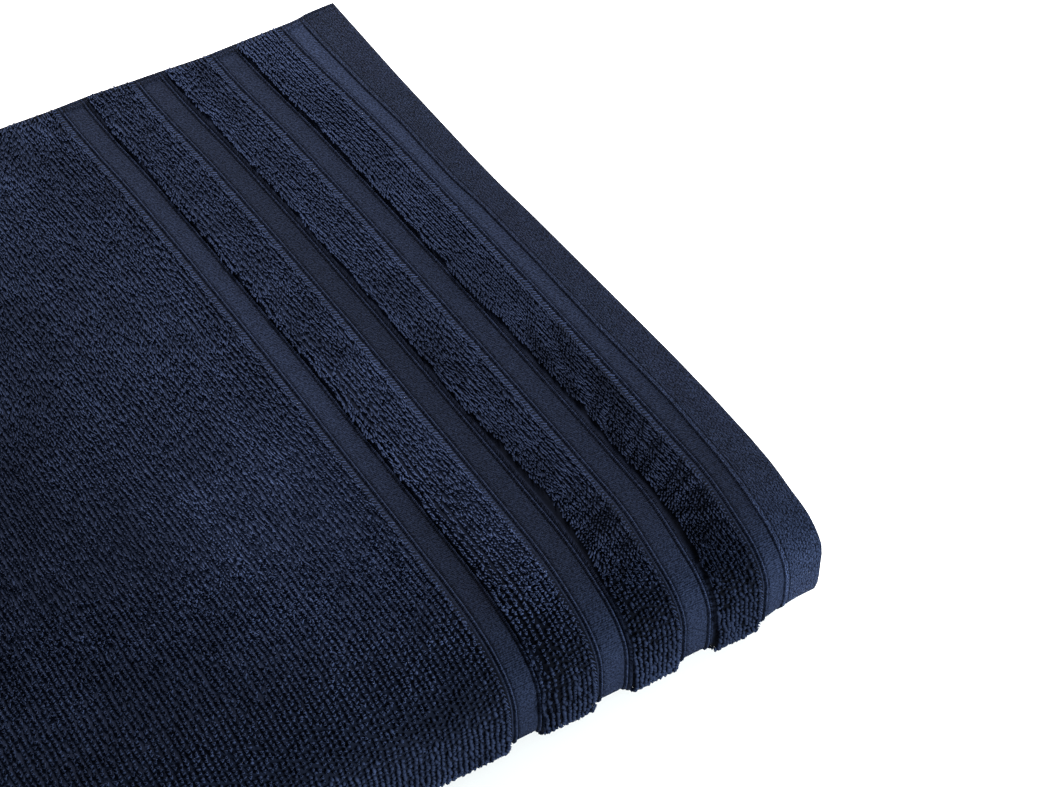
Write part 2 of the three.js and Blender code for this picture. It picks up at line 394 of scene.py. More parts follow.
def side_stations():
    """Distances from the top layer's side hem at which the cloth has its cross lines."""
    hem = np.array(EDGE_STATIONS + SIDE_HEM_STATIONS)
    top = np.arange(CLEAR_OF_SIDE_HEM, TOP_END, TOP_STATION_PITCH)
    near = np.linspace(TOP_END, NEAR_END, NEAR_BEND_STATIONS)
    bottom = np.linspace(NEAR_END, BOTTOM_END, BOTTOM_STATIONS)[1:-1]
    far = np.linspace(BOTTOM_END, FAR_END, FAR_BEND_STATIONS)
    middle = np.linspace(FAR_END, PATH_END - CLEAR_OF_SIDE_HEM, MIDDLE_STATIONS)[1:]
    return np.concatenate([hem, top, near, bottom, far, middle, PATH_END - hem[::-1]])


# The heights of the cloth's two sides
def cord_profile(from_cord):
    """The height of a cord and the grooves beside it, over the flat band."""
    distance = np.abs(from_cord)
    on_cord = 1 - smooth(distance, CORD_HALF_TOP, CORD_HALF_WIDTH + 0.5 * GROOVE_WIDTH)
    past_groove = smooth(distance, CORD_HALF_WIDTH + 0.6 * GROOVE_WIDTH, CORD_REACH)
    cord = (CORD_HEIGHT - GROOVE_HEIGHT) * on_cord
    return GROOVE_HEIGHT + cord + (BAND_HEIGHT - GROOVE_HEIGHT) * past_groove


def dent(distance, depth, half_width):
    """How deep the cloth is dented at a distance from a stitched line."""
    return depth * (1 - smooth(np.abs(distance), 0, half_width))


def right_height(from_end, to_side):
    """The height of the cloth's right side, under any pile."""
    height = np.full(np.broadcast(from_end, to_side).shape, GROUND_HEIGHT)
    for band in BANDS:
        past_cord = from_end - band["outer_cord"] - CORD_REACH
        low = (past_cord > 0) * (1 - smooth(past_cord, 0, BANK_NEAR_CORD))
        if band["inner_cord"] is not None:
            ahead = band["inner_cord"] - CORD_REACH - from_end
            low = low + (ahead > 0) * (1 - smooth(ahead, BANK_FOOT, BANK_AT_EDGE))
        height = height - (GROUND_HEIGHT - BAND_HEIGHT) * low
    past_hem = smooth(from_end, HEM_LINE - HEM_STEP_HALF, HEM_LINE + HEM_STEP_HALF)
    hem = HEM_TOP * (1 - past_hem) + BAND_HEIGHT * past_hem
    hem = hem - dent(from_end - HEM_LINE, *HEM_LINE_DENT) - dent(from_end - HEM_CREASE, *HEM_CREASE_DENT)
    height = np.where(from_end < BANDS[0]["outer_cord"], hem, height)
    for band in BANDS:
        if band["inner_cord"] is not None:
            inside = (from_end > band["inner_cord"]) & (from_end < band["outer_cord"])
            height = np.where(inside, BAND_HEIGHT, height)
        for cord in cords_of(band):
            height = np.where(np.abs(from_end - cord) < CORD_REACH, cord_profile(from_end - cord), height)
    in_side_hem = 1 - smooth(to_side, SIDE_HEM_WIDTH - SIDE_STEP_HALF, SIDE_HEM_WIDTH + SIDE_STEP_HALF)
    side_height = HEM_TOP + np.zeros_like(height)
    for line in SIDE_STITCHES:
        side_height = side_height - dent(to_side - line, *SIDE_STITCH_DENT)
    height = height * (1 - in_side_hem) + side_height * in_side_hem
    return round_off(height, from_end, to_side)


def wrong_height(from_end, to_side):
    """The height of the cloth's wrong side, which is lower under the hems."""
    in_hem = 1 - smooth(np.minimum(from_end * SIDE_HEM_WIDTH / HEM_WIDTH, to_side), *HEM_STEP_UNDER)
    height = WRONG_SIDE + in_hem * (HEM_UNDER - WRONG_SIDE)
    return round_off(height, from_end, to_side)


def round_off(height, from_end, to_side):
    """Brings both sides of the cloth together at its edges, as a turned hem has them."""
    inset = np.clip(np.minimum(from_end, to_side) / EDGE_RADIUS, 0, 1)
    middle = (HEM_TOP + HEM_UNDER) / 2
    fullness = np.sqrt(np.clip(1 - (1 - inset) ** 2, LEAST_FULLNESS, 1))
    return middle + (height - middle) * fullness


# Painted light and shade on the hem and the flat bands: how much lighter or darker the weave is
# than its usual colour, which is 1, at distances from the side
WEAVE_PAINTED_LIGHT = {
    "hem": [(0, 1.1), (150, 1.1), (250, 1.18), (300, 1.18), (330, 1.42), (345, 1.9)],
    "band 4": [(0, 1.8), (100, 1.55), (200, 1.25), (285, 0.78), (315, 0.78), (340, 1.4)],
    "band 3": [(0, 1.15), (150, 1.02), (250, 0.87), (305, 0.87), (320, 1), (345, 1.1)],
    "band 2": [(0, 1), (130, 0.8), (310, 0.77), (345, 1.1)],
    "band 1": [(0, 1), (160, 1.35), (200, 1.3), (260, 0.85), (310, 0.75), (340, 0.95)],
}
# Painted highlights along the cords and the ridge beside the hem line, and painted shade in the
# grooves, the hem line, its crease and the side stitches: how much lighter or, below 0, darker the
# weave is along its lines, with half the width of each line and the width over which it fades out
CORD_PAINTED_HIGHLIGHT = (0.8, 0.28, 0.2)
GROOVE_PAINTED_SHADE = (-0.68, 0.1, 0.2)
HEM_LINE_PAINTED_SHADE = (-0.5, 0.1, 0.3)
HEM_RIDGE_PAINTED_HIGHLIGHT = (0.55, 0.3, 0.35)
HEM_CREASE_PAINTED_SHADE = (-0.5, 0.12, 0.3)
SIDE_STITCH_PAINTED_SHADE = (-0.4, 0.1, 0.4)
CORD_TO_GROOVE = 0.72
# The hem line's painted shade fades by this share over these distances from the side
HEM_LINE_FADES = 0.5
HEM_LINE_FADES_OVER = (290, 330)
# Painted shade darkens the ground on the bank past a band's outer cord, under the cord row's strands,
# and a painted shadow darkens it under the pile that hangs over the inner cord. Painted light makes
# it lighter where it shows between the strands of stripe 1 and of the field, up to the fold.
BANK_PAINTED_SHADE = 0.75
BANK_PAINTED_SHADE_OVER = ((0, 0.5), (2.6, 4.0))
HANGING_PAINTED_SHADOW = 0.7
HANGING_PAINTED_SHADOW_OVER = ((0, 1.5), (5, 7))
HANGING_FROM_SIDE = (140, 220)
OPEN_GROUND = ((88, 106.5), (122.5, 2 * PANEL))
OPEN_GROUND_PAINTED_LIGHT = 0.9
OPEN_GROUND_SIDES = ((170, 220), (280, 315))
OPEN_GROUND_ENDS = (140, 220)


def shade_of_line(distance, change, half_width, fade):
    return change * (1 - smooth(np.abs(distance), half_width, half_width + fade))


def painted_light_and_shade_of_weave(from_end, from_side, to_side):
    """Painted light and shade on the weave beside its usual colour, at its lines and along its length."""
    shade = np.ones(np.broadcast(from_end, from_side).shape)
    for band in BANDS:
        outer, inner = band["outer_cord"], band["inner_cord"]
        for cord in cords_of(band):
            from_groove = np.abs(from_end - cord) - CORD_TO_GROOVE
            groove = shade_of_line(from_groove, *GROOVE_PAINTED_SHADE)
            shade = shade * (1 + shade_of_line(from_end - cord, *CORD_PAINTED_HIGHLIGHT) + groove)
        past = from_end - outer - CORD_REACH
        shade = shade * (1 - BANK_PAINTED_SHADE * between(past, *BANK_PAINTED_SHADE_OVER))
        if inner is not None:
            ahead = inner - CORD_REACH - from_end
            # Painted shadow under the pile that hangs over the inner cord
            hanging_shadow = between(ahead, *HANGING_PAINTED_SHADOW_OVER) * smooth(from_side, *HANGING_FROM_SIDE)
            shade = shade * (1 - HANGING_PAINTED_SHADOW * hanging_shadow)
        in_band = (from_end < outer) & (from_end > (HEM_LINE if inner is None else inner))
        shade = shade * np.where(in_band, from_table(WEAVE_PAINTED_LIGHT[band["name"]], from_side), 1)
    fades = 1 - HEM_LINE_FADES * smooth(from_side, *HEM_LINE_FADES_OVER)
    shade = shade * (1 + fades * shade_of_line(from_end - HEM_LINE, *HEM_LINE_PAINTED_SHADE))
    shade = shade * (1 + shade_of_line(from_end - HEM_RIDGE, *HEM_RIDGE_PAINTED_HIGHLIGHT))
    shade = shade * (1 + shade_of_line(from_end - HEM_CREASE, *HEM_CREASE_PAINTED_SHADE))
    shade = shade * np.where(from_end < HEM_LINE, from_table(WEAVE_PAINTED_LIGHT["hem"], from_side), 1)
    for line in SIDE_STITCHES:
        shade = shade * (1 + shade_of_line(to_side - line, *SIDE_STITCH_PAINTED_SHADE))
    # Painted light on the ground that shows between the strands of stripe 1 and of the field
    is_open = np.any([(from_end > start) & (from_end < end) for start, end in OPEN_GROUND], axis=0)
    is_open = is_open * between(from_side, *OPEN_GROUND_SIDES) * (1 - smooth(from_end, *OPEN_GROUND_ENDS))
    return shade * (1 + OPEN_GROUND_PAINTED_LIGHT * is_open)


# The cloth, as one closed skin
TERRY_GROUND, FLAT_WEAVE, HEM_WEAVE = 0, 1, 2


def new_object(name, data):
    """An object of the scene that holds a mesh, a camera or a light."""
    made = bpy.data.objects.new(name, data)
    bpy.context.scene.collection.objects.link(made)
    return made


def store(mesh, name, values):
    """Stores a number or a vector on each point of a mesh."""
    values = np.asarray(values).astype(np.float32)
    kind, key = ("FLOAT", "value") if values.ndim == 1 else ("FLOAT_VECTOR", "vector")
    mesh.attributes.new(name, kind, "POINT").data.foreach_set(key, values.ravel())


def add_piece(name, points, faces, materials, face_materials=None, uv=None, shade=None):
    """A mesh object with its points in metres, and the weave's places and painted light and shade where it
    has them.
    """
    mesh = bpy.data.meshes.new(name)
    mesh.from_pydata(points.tolist(), [], faces.tolist())
    for material in materials:
        mesh.materials.append(material)
    if face_materials is not None:
        mesh.polygons.foreach_set("material_index", face_materials)
    mesh.polygons.foreach_set("use_smooth", np.ones(len(mesh.polygons), bool))
    if uv is not None:
        corners = np.zeros(len(mesh.loops), int)
        mesh.loops.foreach_get("vertex_index", corners)
        layer = mesh.uv_layers.new(name="weave")
        layer.data.foreach_set("uv", uv[corners].astype(np.float32).ravel())
    if shade is not None:
        store(mesh, "shade", shade)
    mesh.update()
    return new_object(name, mesh)


def quads(*corners):
    """Faces with four corners, each corner given as a block of vertex numbers."""
    return np.stack(corners, -1).reshape(-1, 4)


def skin_faces(rows, columns):
    """The faces of the right side, of the wrong side and of the edges between them."""
    index = np.arange(rows * 2 * columns).reshape(rows, 2, columns)
    right, wrong = index[:, 0], index[:, 1]
    return np.concatenate([
        quads(right[:-1, 1:], right[:-1, :-1], right[1:, :-1], right[1:, 1:]),
        quads(wrong[:-1, :-1], wrong[:-1, 1:], wrong[1:, 1:], wrong[1:, :-1]),
        quads(right[:-1, 0], wrong[:-1, 0], wrong[1:, 0], right[1:, 0]),
        quads(wrong[:-1, -1], right[:-1, -1], right[1:, -1], wrong[1:, -1]),
        quads(wrong[0, :-1], right[0, :-1], right[0, 1:], wrong[0, 1:]),
        quads(right[-1, :-1], wrong[-1, :-1], wrong[-1, 1:], right[-1, 1:]),
    ])[:, ::-1]


def weave_at(from_end, to_side):
    """Which of the cloth's materials a place has."""
    flat = from_end < BANDS[0]["outer_cord"] + FLAT_WEAVE_REACH
    for band in BANDS[1:]:
        past_inner = from_end > band["inner_cord"] - FLAT_WEAVE_REACH
        flat = flat | past_inner & (from_end < band["outer_cord"] + FLAT_WEAVE_REACH)
    hemmed = (from_end < HEM_WIDTH) | (to_side < SIDE_HEM_WIDTH)
    return np.where(hemmed, HEM_WEAVE, np.where(flat, FLAT_WEAVE, TERRY_GROUND)).astype(np.int32)


def make_cloth(materials):
    """The whole folded sheet without its loops."""
    section = pack_section()
    from_side = side_stations()[:, None]
    to_side = np.minimum(from_side, PATH_END - from_side)
    from_end = section["from_end"][None, :]
    rows, columns = np.broadcast(from_side, from_end).shape
    wide_end, wide_side = np.broadcast_arrays(from_end, from_side)
    skins = []
    for height_of in (right_height, wrong_height):
        height = height_of(from_end, to_side)
        x = section["x"] + section["up_x"] * height
        depth = section["depth"] + section["up_depth"] * height
        skins.append(fold_into_thirds(x, depth, wide_end, wide_side))
    points = np.stack(skins, 1).reshape(-1, 3)
    faces = skin_faces(rows, columns)
    uv = np.stack([wide_end, wide_side], -1)
    uv = np.stack([uv, uv], 1).reshape(-1, 2) * MM
    middles = uv[faces].mean(1) / MM
    kinds = weave_at(middles[:, 0], np.minimum(middles[:, 1], PATH_END - middles[:, 1]))
    # The right side carries the painted light and shade, and the wrong side stays at 1
    shade = painted_light_and_shade_of_weave(from_end, from_side, to_side)
    shade = np.stack([shade, np.ones_like(shade)], 1).ravel()
    return add_piece("cloth", points, faces, materials, kinds, uv, shade)


# The yarn's two shapes, as points given by x, y, height and share of the full width
BUD = [(0, 0, 0, 0.7), (0, 0, 0.66, 1.0), (0, 0, 1.0, 0.42)]
STRAND = [(0, 0, 0, 1.1), (0, 0, 1.0, 0.7)]
TUBE_SIDES = 3
TUBE_RADIUS = 0.5
BUD_WIDTH = 1.75
BUD_THICKNESS = 1.45
STRAND_WIDTH = {"field": 0.66, "stripe 1": 0.7, "stripe 2": 0.68, "stripe 3": 0.66}
STRANDS_APART = 0.6

# How high the loops stand, and how deep their feet are sunk in the ground
STRAND_RISE = {"field": 1.25, "stripe 1": 1.1, "stripe 2": 1.15, "stripe 3": 1.25}
UPRIGHT_RISE = 1.3
SIDE_RISE = 1.05
FOOT_SUNK = 0.15

# Which way the strands are combed, in degrees from along their row towards the end of the sheet, at
# distances from the side
COMBED = {
    "field": [(60, -14), (100, -9), (150, -9), (180, -4), (240, -6)],
    "stripe 1": [
        (0, -13), (60, -15), (90, -9), (150, -14), (180, -14), (210, -9), (240, -3), (270, -7), (330, -2),
    ],
    "stripe 2": [
        (20, -8), (60, -12), (90, -12), (150, -11), (180, -8), (210, -12), (270, -10), (290, -26),
        (310, -30), (325, -8),
    ],
    "stripe 3": [
        (20, -17), (60, -11), (120, -14), (150, -12), (205, -16), (240, -16), (270, -22), (300, -30),
        (325, -10),
    ],
}
# The distances from the side over which strands give way to upright loops, and over which the
# strands lift. Both come sooner further into the field.
UPRIGHT = {"field": (235, 330), "stripe 1": (285, 325), "stripe 2": (305, 330), "stripe 3": (312, 338)}
LIFTING = {"field": (130, 280), "stripe 1": (200, 320), "stripe 2": (240, 330), "stripe 3": (250, 330)}
LIFTS_SOONER = 0.25
MINGLED = 0.45

# Painted light and shade on the pile: how much lighter or darker it is than its usual colour, which
# is 1, at distances from the side
PILE_PAINTED_LIGHT = {
    "field": [
        (0, 1.07), (130, 1.04), (180, 1.28), (210, 1.36), (240, 1.46), (270, 1.3), (300, 1.05), (345, 0.64),
    ],
    "stripe 1": [(0, 1.07), (130, 1.07), (180, 1.17), (240, 1.53), (300, 1.65), (320, 1.13), (345, 0.55)],
    "stripe 2": [(0, 1.1), (130, 1.15), (200, 0.9), (270, 0.78), (300, 0.72), (330, 0.68)],
    "stripe 3": [(0, 1.36), (70, 1.22), (120, 1.12), (180, 0.84), (240, 0.6), (300, 0.65), (345, 0.48)],
}
# How strongly the pile gathers in tufts, from 0 to 1, and how unevenly its strands lie, where 1 is
# the usual unevenness, at distances from the side
TUFTED = {
    "field": [(0, 0.25), (400, 0.25)],
    "stripe 1": [(0, 0.2), (100, 0.25), (150, 0.4), (200, 0.15), (260, 0.1), (300, 0)],
    "stripe 2": [(0, 0.4), (90, 0.3), (180, 0.4), (210, 0.8), (240, 0.5), (280, 1), (310, 1), (330, 0)],
    "stripe 3": [(0, 0.4), (60, 0.15), (180, 0.1), (205, 1), (310, 1), (335, 0)],
}
LOOSE = {
    "field": [(0, 0.9), (190, 0.9), (240, 1.25), (400, 1.25)],
    "stripe 1": [(0, 0.95), (400, 0.95)],
    "stripe 2": [(0, 0.75), (400, 0.75)],
    "stripe 3": [(0, 0.55), (130, 0.5), (160, 0.4), (200, 0.45), (240, 0.6), (400, 0.6)],
}
# How far from the end of the sheet each stripe's last row lies, at distances from the side
STRIPE_EDGE = {
    "stripe 1": [
        (0, 106.0), (20, 106.4), (60, 106.6), (100, 107.3), (190, 107.1), (240, 107.3), (310, 107.6),
        (350, 108.2), (360, 107.0), (400, 106.4),
    ],
    "stripe 2": [
        (0, 72.9), (40, 72.1), (65, 73.1), (90, 72.7), (200, 72.2), (212, 73.1), (225, 72.3), (250, 71.0),
        (270, 70.2), (300, 70.8), (312, 72.2), (325, 73.4), (350, 73.6), (360, 72.4), (400, 72.0),
    ],
    "stripe 3": [
        (0, 40.8), (85, 40.4), (130, 40.8), (180, 40.6), (200, 39.0), (245, 38.5), (268, 39.3), (300, 38.7),
        (312, 38.5), (322, 39.4), (331, 40.3), (350, 40.5), (360, 39.4), (400, 39.0),
    ],
}
# Clefts between tufts, painted dark as shade, each at a distance from the end and from the side,
# with its slant in degrees towards the end and its length
CLEFTS = [
    (24.4, 210, -45, 3), (24.5, 227, -20, 3), (26, 250, -45, 6), (25, 285, -50, 5), (29, 292, -30, 4),
    (29.5, 306, -35, 8), (35.5, 317, -60, 6), (27.5, 337, -40, 3), (56, 200, -30, 3), (65, 209, -20, 4),
    (55.5, 234, 30, 2.5), (56, 267.5, -10, 2), (63, 291, -35, 6), (65, 316, -60, 8), (60, 306, -30, 5),
    (70, 55, -15, 7), (90, 102, -20, 5), (92.5, 152, -25, 6), (100, 170, -25, 6), (90, 228, 80, 3),
    (98.5, 319, 80, 5), (105, 323, -50, 3), (106, 291, -10, 4), (122, 135, -15, 4), (123, 150, -10, 5),
    (124, 160, -20, 4), (132, 170, -50, 3), (140, 285, 60, 3), (163, 115, -10, 6), (172, 130, -35, 6),
    (202, 250, -30, 6), (217, 267, -20, 5), (150, 200, -15, 5), (187, 158, -25, 6), (147, 334, 80, 7),
]
CLEFT_WIDTH = 1.1
CLEFT_DEPTH = 0.85
CLEFT_RAGGED = 0.6

# How much tufts and mottling change the pile's tone, how much painted shade darkens its clefts, and
# where painted shade darkens the field
TUFT_TONE = 0.3
CLEFT_PAINTED_SHADE = 0.65
MOTTLE_TONE = 0.2
FINE_MOTTLE_TONE = 0.12
FIELD_PAINTED_SHADE = 0.47
FIELD_PAINTED_SHADE_FROM_END = (155, 225)
FIELD_PAINTED_SHADE_TO_SIDE = (290, 330)

# How far loops lean over and stray from their direction, in degrees. The greatest tilt that makes a
# loop longer is in radians.
STRAND_LEAN = 71.0
STRAND_LIFT = 18.0
UPRIGHT_LEAN = 38.0
UPRIGHT_LIFT = 20.0
SIDE_LEAN = 25.0
PATCH_LEAN = 2.0
TUFT_LEAN = 3.0
TUFT_TURN = 8.0
STRAND_STRAY = 6.0
UPRIGHT_STRAY = 14.0
GREATEST_TILT = 1.25

# How unevenly a loop lies where its unevenness is 1, and how much shades differ from loop to loop
FOOT_SCATTER = (0.1, 0.14)
ANGLE_SCATTER = 7.0
SIZE_SCATTER = 0.07
SHADE_SCATTER = 0.08
UPRIGHT_LOOSE = 1.85
SIDE_LOOSE = 2.0

# The most that a loop may turn about its own stem, in radians
STRAND_TWIST = 0.3
UPRIGHT_TWIST = 0.8
SIDE_TWIST = 0.6

# The last rows of a stripe follow its edge, and their strands swing out over it, in degrees
EDGE_MOVED_WIDTH = 9.0
EDGE_SWING_WIDTH = 4.0
EDGE_SWING = 2.0
EDGE_TUFT_SWING = 7.0
EDGE_TUFT_RANGE = (-0.3, 0.6)
EDGE_RAGGED = 0.55
SWING_LEAN = 0.3

# Smooth noise on the pile: the size of its bumps and its seed. Tufts are measured in their own
# lengths and widths.
TUFT_LENGTH = 15.0
TUFT_WIDTH = 4.5
TUFT_SHARPNESS = 3.5
TUFT_NOISE = (1, 11)
PATCH_NOISE = (34, 12)
STRAY_NOISE = (26, 13)
TURN_NOISE = (12, 15)
MOTTLE_NOISE = (12, 16)
EDGE_NOISE = (5, 17)
FINE_MOTTLE_NOISE = (4, 18)
CLEFT_NOISE = (2.5, 19)
EDGE_TUFT_NOISE = (9, 40)
SEEDS = {"field": 20, "stripes": 50, "cord rows": 100, "sides": 200}

# Where the rows of loops begin and end. A row is moved on by a share of the pitch from the last.
FIELD_EDGE = 120.4
FIELD_START = FIELD_EDGE + 1.6
CORD_TO_STRIPE = 4.0
CORD_TO_ROW = 3.3
ROW_SHIFT = 0.38
STRANDS_START = 0.9
UPRIGHT_LEAD = 65
NEAR_LOOPS_END = NEAR_END - 3
CORD_ROW_SIDES = (2.0, NEAR_LOOPS_END)
LEFT_FOLD_SIDES = (3.0, PATH_END - CLEAR_OF_SIDE_HEM)
INNER_FOLD_SIDES = (6.0, PATH_END - CLEAR_OF_SIDE_HEM)
FAR_ROLL_SIDES = (BOTTOM_END + 2, FAR_END - 3)
LEFT_FOLD_SHARE = 0.92
INNER_FOLD_SHARES = (0.1, 0.9)

# The row of slanted strands beside a cord, with what it loses on the way down the near fold. Its
# tone is a painted highlight on the strands.
CORD_ROW = {"lean": 66.0, "rise": 0.78, "tone": 2.1}
CORD_ROW_LOSS = {"lean": 18.0, "rise": 0.1, "tone": 0.8}
CORD_ROW_LOSS_OVER = (230, 330)
CORD_ROW_TURN = 38.0
CORD_ROW_WIDTH = 0.5
CORD_ROW_LOOSE = 0.6


# Where the loops stand
def outer_layer(from_end, from_side, height):
    """A point of the layer that shows on top, and of the fold where it turns under at the left."""
    angle = np.clip((from_end - PANEL) / (OUTER_FOLD_RADIUS + PILE_TOP), 0, math.pi)
    middle = (DEPTHS[0] + DEPTHS[3]) / 2
    radius = OUTER_FOLD_RADIUS + height
    x = -np.minimum(from_end, PANEL) - radius * np.sin(angle)
    depth = middle - radius * np.cos(angle)
    return fold_into_thirds(x, depth, from_end, from_side)


def inner_fold(along_fold, from_side, height):
    """A point of the fold that lies between the two end hems."""
    angle = along_fold / (INNER_FOLD_RADIUS + PILE_TOP)
    middle = (DEPTHS[2] + DEPTHS[3]) / 2
    radius = INNER_FOLD_RADIUS + height
    x = -INNER_FOLD_SETBACK + radius * np.sin(angle)
    depth = middle - radius * np.cos(angle)
    return fold_into_thirds(x, depth, np.full(np.shape(x), PANEL), from_side)


def grid(end_rows, side_range, pitch):
    """Places of loops in rows, each row set a little along from the last."""
    sides = np.arange(*side_range, pitch)
    ends, sides = np.meshgrid(end_rows, sides, indexing="ij")
    sides = sides + pitch * ROW_SHIFT * np.arange(len(end_rows))[:, None] % pitch
    return ends.ravel(), sides.ravel()


def towards_fold(from_end, from_side):
    """The distance from the side, counted on further into the field, where the pile lifts sooner."""
    return from_side + LIFTS_SOONER * np.clip(from_end - FIELD_EDGE, 0, None)


def upright_share(area, from_end, from_side):
    """From 0 where the pile is combed flat along its rows to 1 where it stands up."""
    return smooth(towards_fold(from_end, from_side), *UPRIGHT[area])


def split_loops(area, ends, sides, keep_upright, seed):
    """The places that belong to upright loops, or else to combed ones, mingled where they meet."""
    chance = np.random.default_rng(seed).uniform(0, MINGLED, len(ends))
    share = upright_share(area, ends, sides)
    kept = share > 0.1 + chance if keep_upright else share < 0.9 - chance
    return ends[kept], sides[kept]


def shape_edge(area, ends, sides):
    """Moves a stripe's last rows to its edge, and gives how far their strands swing out over it."""
    if area not in STRIPE_EDGE:
        return ends, np.zeros(len(ends))
    last = STRIPE_EDGE[area][0][1]
    near_edge = smooth(ends, last - EDGE_MOVED_WIDTH, last)
    tufts = smooth(soft_noise(ends, sides, *EDGE_TUFT_NOISE), *EDGE_TUFT_RANGE)
    swing = smooth(ends, last - EDGE_SWING_WIDTH, last) * (EDGE_SWING + EDGE_TUFT_SWING * tufts)
    ragged = EDGE_RAGGED * soft_noise(sides, ends, *EDGE_NOISE)
    shift = from_table(STRIPE_EDGE[area], sides) - last + ragged
    return ends + shift * near_edge, swing


# How the loops lie and how light they are
def tufts_at(area, from_end, from_side):
    """From -1 to 1 from tuft to tuft, which lie along the way the pile is combed."""
    turn = np.radians(-from_table(COMBED[area], from_side))
    along = from_side * np.cos(turn) + from_end * np.sin(turn)
    across = from_end * np.cos(turn) - from_side * np.sin(turn)
    tufts = np.tanh(TUFT_SHARPNESS * soft_noise(along / TUFT_LENGTH, across / TUFT_WIDTH, *TUFT_NOISE))
    return tufts * from_table(TUFTED[area], from_side)


def lay_of_pile(area, from_end, from_side):
    """How far strands lean over, and which way: 0 is along the rows towards the near fold."""
    lifting = smooth(towards_fold(from_end, from_side), *LIFTING[area])
    tufts = tufts_at(area, from_end, from_side)
    patches = soft_noise(from_end, from_side, *PATCH_NOISE)
    lean = STRAND_LEAN - STRAND_LIFT * lifting + PATCH_LEAN * patches + TUFT_LEAN * tufts
    stray = STRAND_STRAY * soft_noise(from_end, from_side, *STRAY_NOISE)
    return lean, from_table(COMBED[area], from_side) + stray + TUFT_TURN * tufts


def depth_of_clefts(from_end, from_side):
    """From 0 in the open to nearly 1 down in a cleft between two tufts."""
    open_share = np.ones(len(from_end))
    for end, side, slant, length in CLEFTS:
        turn = math.radians(slant)
        beyond, below = from_side - side, from_end - end
        along = beyond * math.cos(turn) - below * math.sin(turn)
        across = below * math.cos(turn) + beyond * math.sin(turn)
        across = across + CLEFT_RAGGED * soft_noise(from_side, from_end, *CLEFT_NOISE)
        cleft = np.exp(-((along / length * 2) ** 2) - (across / CLEFT_WIDTH) ** 2)
        open_share *= 1 - CLEFT_DEPTH * cleft
    return 1 - open_share


def tone_and_painted_light_of_pile(area, from_end, from_side):
    """The pile's painted light and shade, darker in its clefts and far into the field, with lighter and
    darker tufts and random mottling.
    """
    shaded_far_in = smooth(from_end, *FIELD_PAINTED_SHADE_FROM_END) * (1 - smooth(from_side, *FIELD_PAINTED_SHADE_TO_SIDE))
    mottle_and_cleft_shade = 1 + MOTTLE_TONE * soft_noise(from_end, from_side, *MOTTLE_NOISE)
    mottle_and_cleft_shade = mottle_and_cleft_shade + FINE_MOTTLE_TONE * soft_noise(from_end, from_side, *FINE_MOTTLE_NOISE)
    # Painted shade down in the clefts between tufts
    mottle_and_cleft_shade = mottle_and_cleft_shade * (1 - CLEFT_PAINTED_SHADE * depth_of_clefts(from_end, from_side))
    tufts = 1 + TUFT_TONE * tufts_at(area, from_end, from_side)
    return from_table(PILE_PAINTED_LIGHT[area], from_side) * (1 - FIELD_PAINTED_SHADE * shaded_far_in) * mottle_and_cleft_shade * tufts


# Beds of points, and the two shapes that are set on them
def unit(vectors):
    return vectors / np.linalg.norm(vectors, axis=-1, keepdims=True)


def surface_at(point_of, ends, sides):
    """The foot of each loop and the three ways from it: up, along its row and towards the end."""
    step = 0.5
    low = np.full(len(ends), GROUND_HEIGHT - FOOT_SUNK)
    foot = point_of(ends, sides, low)
    above = point_of(ends, sides, low + step)
    further = point_of(ends, sides + step, low)
    inland = point_of(ends + step, sides, low)
    normal = unit(np.cross(further - foot, inland - foot))
    normal *= np.sign(np.sum(normal * (above - foot), -1, keepdims=True))
    along_row = unit(further - foot)
    to_end = unit(np.cross(normal, along_row))
    to_end *= np.sign(np.sum(to_end * (foot - inland), -1, keepdims=True))
    return foot, normal, along_row, to_end


def bed_of_loops(point_of, ends, sides, lean, swirl, width, seed, rise, loose, tone):
    """Loose points at the feet of loops, with the way each loop stands stored on them."""
    draw = np.random.default_rng(seed)
    count = len(ends)
    ends = ends + draw.normal(0, FOOT_SCATTER[0] * loose, count)
    sides = sides + draw.normal(0, FOOT_SCATTER[1] * loose, count)
    foot, normal, along_row, to_end = surface_at(point_of, ends, sides)
    tilt = np.radians(lean + draw.normal(0, ANGLE_SCATTER * loose, count))
    turn = np.radians(swirl + draw.normal(0, ANGLE_SCATTER * loose, count))
    flat = along_row * np.cos(turn)[:, None] + to_end * np.sin(turn)[:, None]
    stem = normal * np.cos(tilt)[:, None] + flat * np.sin(tilt)[:, None]
    uneven = 1 + draw.normal(0, SIZE_SCATTER * loose, count)
    length = rise / np.cos(np.minimum(tilt, GREATEST_TILT)) * uneven
    bed = bpy.data.meshes.new("bed")
    bed.from_pydata(foot.tolist(), [], [])
    store(bed, "stem", stem * (length * MM)[:, None])
    store(bed, "side", to_end * np.cos(turn)[:, None] - along_row * np.sin(turn)[:, None])
    store(bed, "width", np.broadcast_to(width * MM, count))
    # The tone carries painted light and shade, and each loop differs a little from it at random
    store(bed, "shade", tone * (1 + draw.normal(0, SHADE_SCATTER, count)))
    return bed


